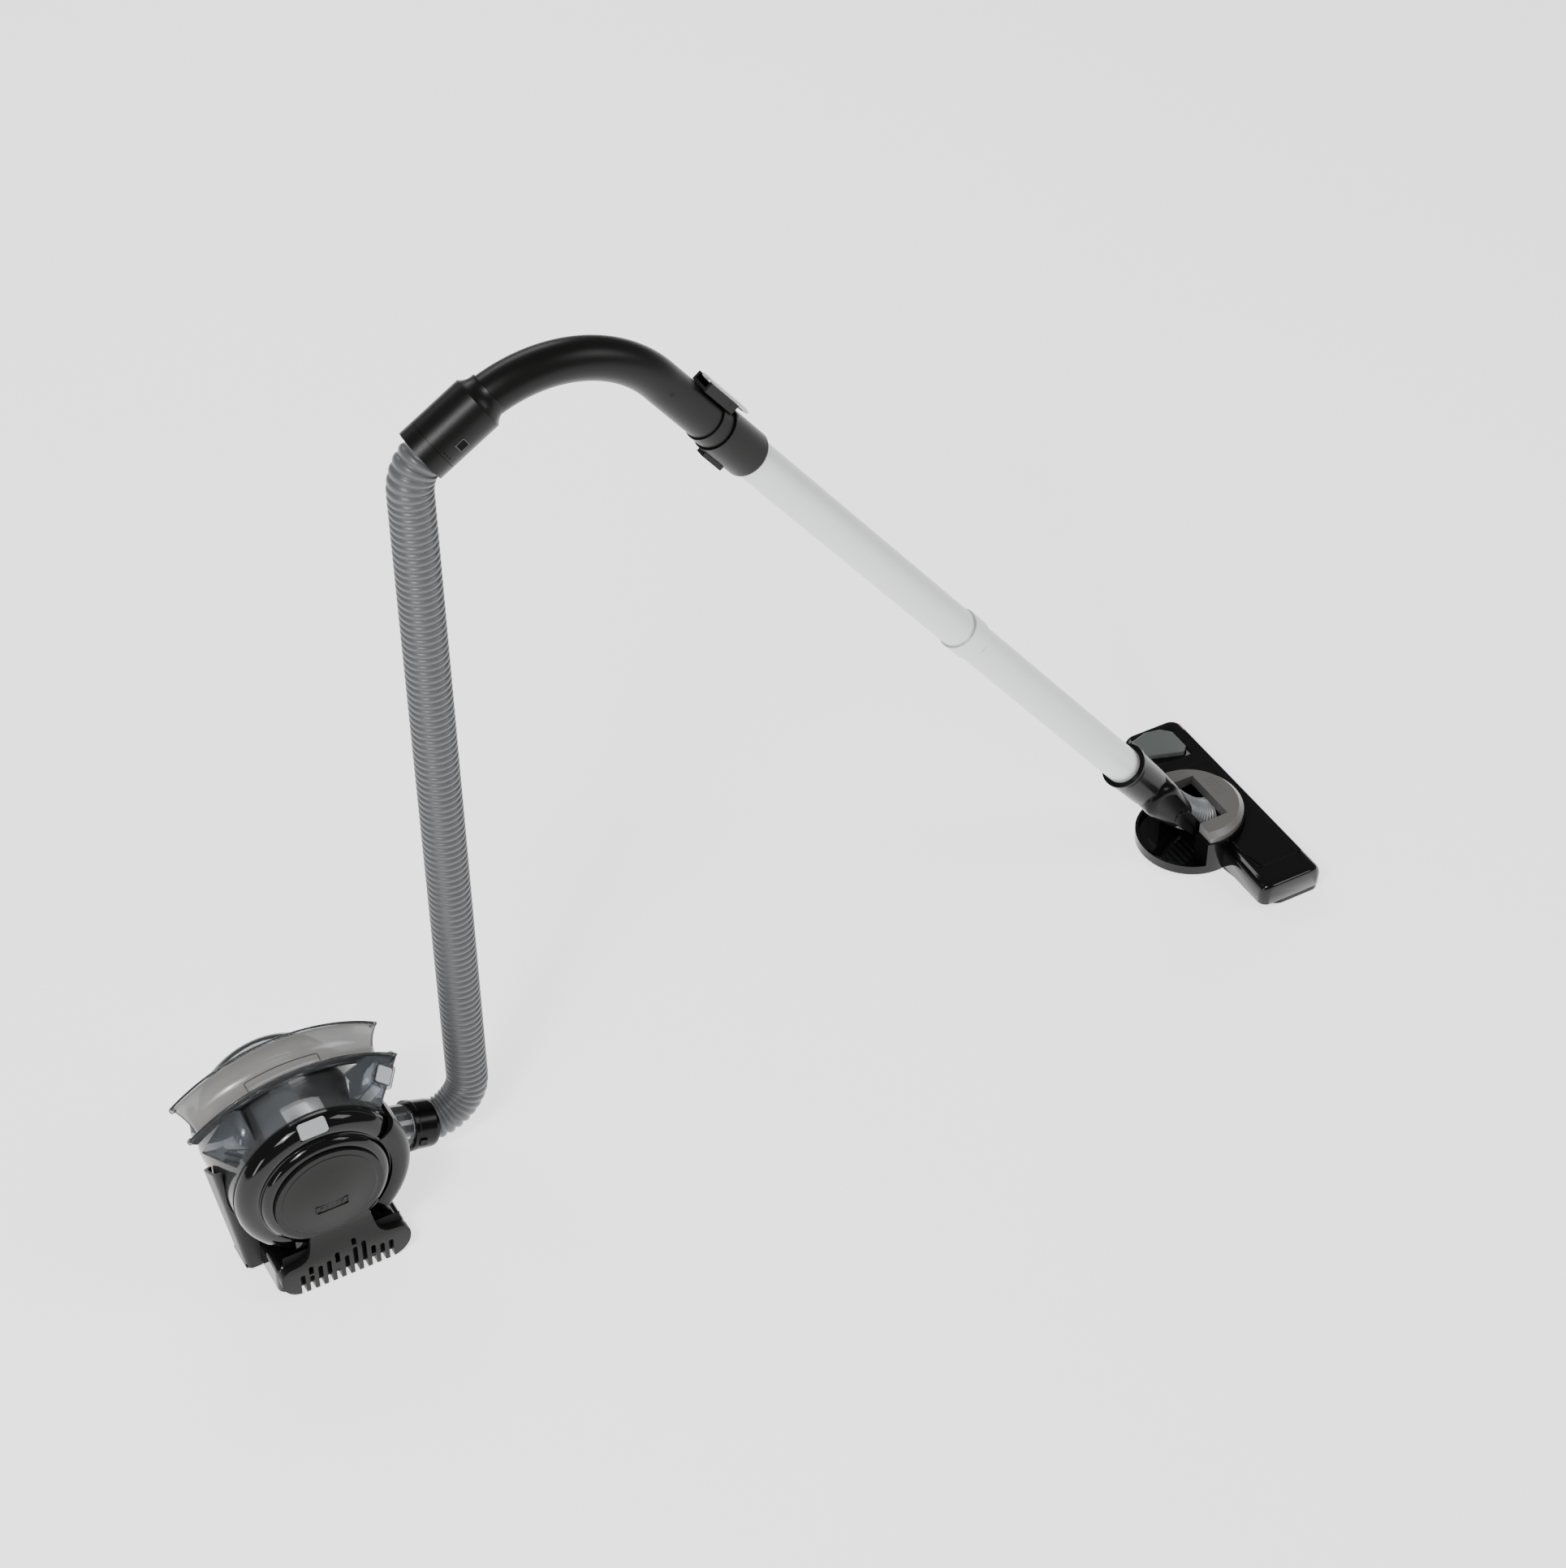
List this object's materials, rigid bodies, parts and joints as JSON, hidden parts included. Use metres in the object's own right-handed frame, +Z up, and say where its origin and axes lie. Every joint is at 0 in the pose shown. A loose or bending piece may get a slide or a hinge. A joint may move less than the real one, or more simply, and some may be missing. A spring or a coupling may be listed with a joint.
{
  "type": "canister vacuum cleaner",
  "caption": "Canister vacuum cleaner with see-through dust bowl, ribbed hose, curved handle, straight wand and tilting floor head with brush pedal.",
  "frame": {"origin": "on the floor at the middle of the canister's feet", "axes": "+Z up, +X from the canister towards the floor head, +Y towards the canister's rear; hose, handle and wand lie in the plane Y = 0"},
  "size_m": [1.1078, 0.246, 0.8128],
  "materials": {
    "gloss_black": "gloss",
    "matte_black": "fine matt",
    "face_grey": "fine matt",
    "smoke": "clear, lightly tinted polycarbonate",
    "button_grey": "satin",
    "hose_grey": "satin ribbed",
    "wand_silver": "satin silver",
    "lever_silver": "silver paint",
    "cap_taupe": "silver-taupe paint",
    "pedal_grey": "satin",
    "rubber": "matt",
    "steel": "brushed",
    "mesh_grey": "fine woven mesh",
    "cell_blue": "sleeved",
    "board_green": "solder mask",
    "duct_silver": "satin ribbed",
    "bristle": "dense pile"
  },
  "bodies": {
    "canister": {"front_panel": "face_grey", "drum_ring": "gloss_black", "base_shell": "gloss_black", "base_plate": "matte_black", "base_screws": "steel", "rubber_feet": "rubber", "battery_cells": "cell_blue", "battery_tray": "matte_black", "circuit_board": "board_green", "charging_jack": "matte_black", "side_shroud": "matte_black", "nozzle_holster": "matte_black", "dust_bowl": "smoke", "bowl_seal": "rubber", "door_hinge_pin": "steel", "filter_frame": "matte_black", "filter_mesh": "mesh_grey", "motor_bulkhead": "matte_black", "motor": "steel", "hose_coupler": "gloss_black", "hose": "hose_grey", "hose_cuff_ring": "matte_black"},
    "fan": {"impeller": "matte_black", "motor_shaft": "steel"},
    "door": {"dust_door": "smoke"},
    "release_key": {"release_button": "button_grey"},
    "door_key": {"door_latch_button": "button_grey"},
    "power_slider": {"power_switch": "button_grey"},
    "handle": {"handle_tube": "matte_black", "handle_screw": "steel", "lever_bracket": "matte_black", "lever_pin": "steel", "lever_spring": "steel", "tube_collar": "matte_black", "collar_clip": "matte_black", "upper_tube": "wand_silver", "lower_tube": "wand_silver", "neck_socket": "gloss_black"},
    "lever": {"latch_lever": "lever_silver"},
    "neck": {"neck_yoke": "gloss_black"},
    "floor_head": {"yoke_pins": "steel", "flexible_duct": "duct_silver", "turret_base": "gloss_black", "turret_cap": "cap_taupe", "head_top": "gloss_black", "head_panel": "gloss_black", "head_sole": "matte_black", "pedal_pin": "steel", "lint_strips": "rubber", "wheel_axles": "steel"},
    "pedal_rocker": {"pedal": "pedal_grey"},
    "brush": {"brush_carrier": "matte_black", "bristle_strip": "bristle"},
    "near_wheel": {"wheel_near": "rubber"},
    "far_wheel": {"wheel_far": "rubber"}
  },
  "joints": [
    {"name": "fan_spin", "type": "hinge", "parent": "canister", "child": "fan", "pos_m": [0, -0.06, 0.105], "axis": [0, 1, 0], "continuous": true},
    {"name": "door_swing", "type": "hinge", "parent": "canister", "child": "door", "pos_m": [-0.069, 0.037, 0.105], "axis": [0, 0, 1], "range_deg": [0, 110]},
    {"name": "release_press", "type": "slide", "parent": "canister", "child": "release_key", "axis": [0, 0.6157, -0.788], "range_m": [0, 0.0015], "stiffness_N_per_m": 400, "springref_m": -0.001},
    {"name": "door_key_press", "type": "slide", "parent": "canister", "child": "door_key", "axis": [-0.3557, 0.7413, -0.5692], "range_m": [0, 0.0015], "stiffness_N_per_m": 400, "springref_m": -0.001},
    {"name": "power_slide", "type": "slide", "parent": "canister", "child": "power_slider", "axis": [1, 0, 0], "range_m": [0, 0.005]},
    {"name": "handle_swivel", "type": "hinge", "parent": "canister", "child": "handle", "pos_m": [0.177, 0, 0.75], "axis": [0.848, 0, 0.5299], "range_deg": [-90, 90]},
    {"name": "lever_press", "type": "hinge", "parent": "handle", "child": "lever", "pos_m": [0.43565, 0, 0.71171], "axis": [0, -1, 0], "range_deg": [0, 6], "stiffness_Nm_per_rad": 0.6, "springref_deg": -5.73},
    {"name": "socket_swivel", "type": "hinge", "parent": "handle", "child": "neck", "pos_m": [0.89006, 0, 0.08968], "axis": [0.6133, 0, -0.7898], "range_deg": [-60, 60]},
    {"name": "neck_tilt", "type": "hinge", "parent": "neck", "child": "floor_head", "pos_m": [0.93955, 0, 0.02594], "axis": [0, 1, 0], "range_deg": [-40, 30]},
    {"name": "pedal_rock", "type": "hinge", "parent": "floor_head", "child": "pedal_rocker", "pos_m": [0.9685, 0.097, 0.0293], "axis": [0, 1, 0], "range_deg": [0, 8]},
    {"name": "brush_slide", "type": "slide", "parent": "floor_head", "child": "brush", "axis": [0, 0, -1], "range_m": [0, 0.0036]},
    {"name": "near_wheel_spin", "type": "hinge", "parent": "floor_head", "child": "near_wheel", "pos_m": [0.958, -0.08, 0.007], "axis": [0, 1, 0], "continuous": true},
    {"name": "far_wheel_spin", "type": "hinge", "parent": "floor_head", "child": "far_wheel", "pos_m": [0.958, 0.088, 0.007], "axis": [0, 1, 0], "continuous": true}
  ],
  "couplings": [
    {"joint": "brush_slide", "follows": "pedal_rock", "m_per_rad": 0.02507}
  ]
}
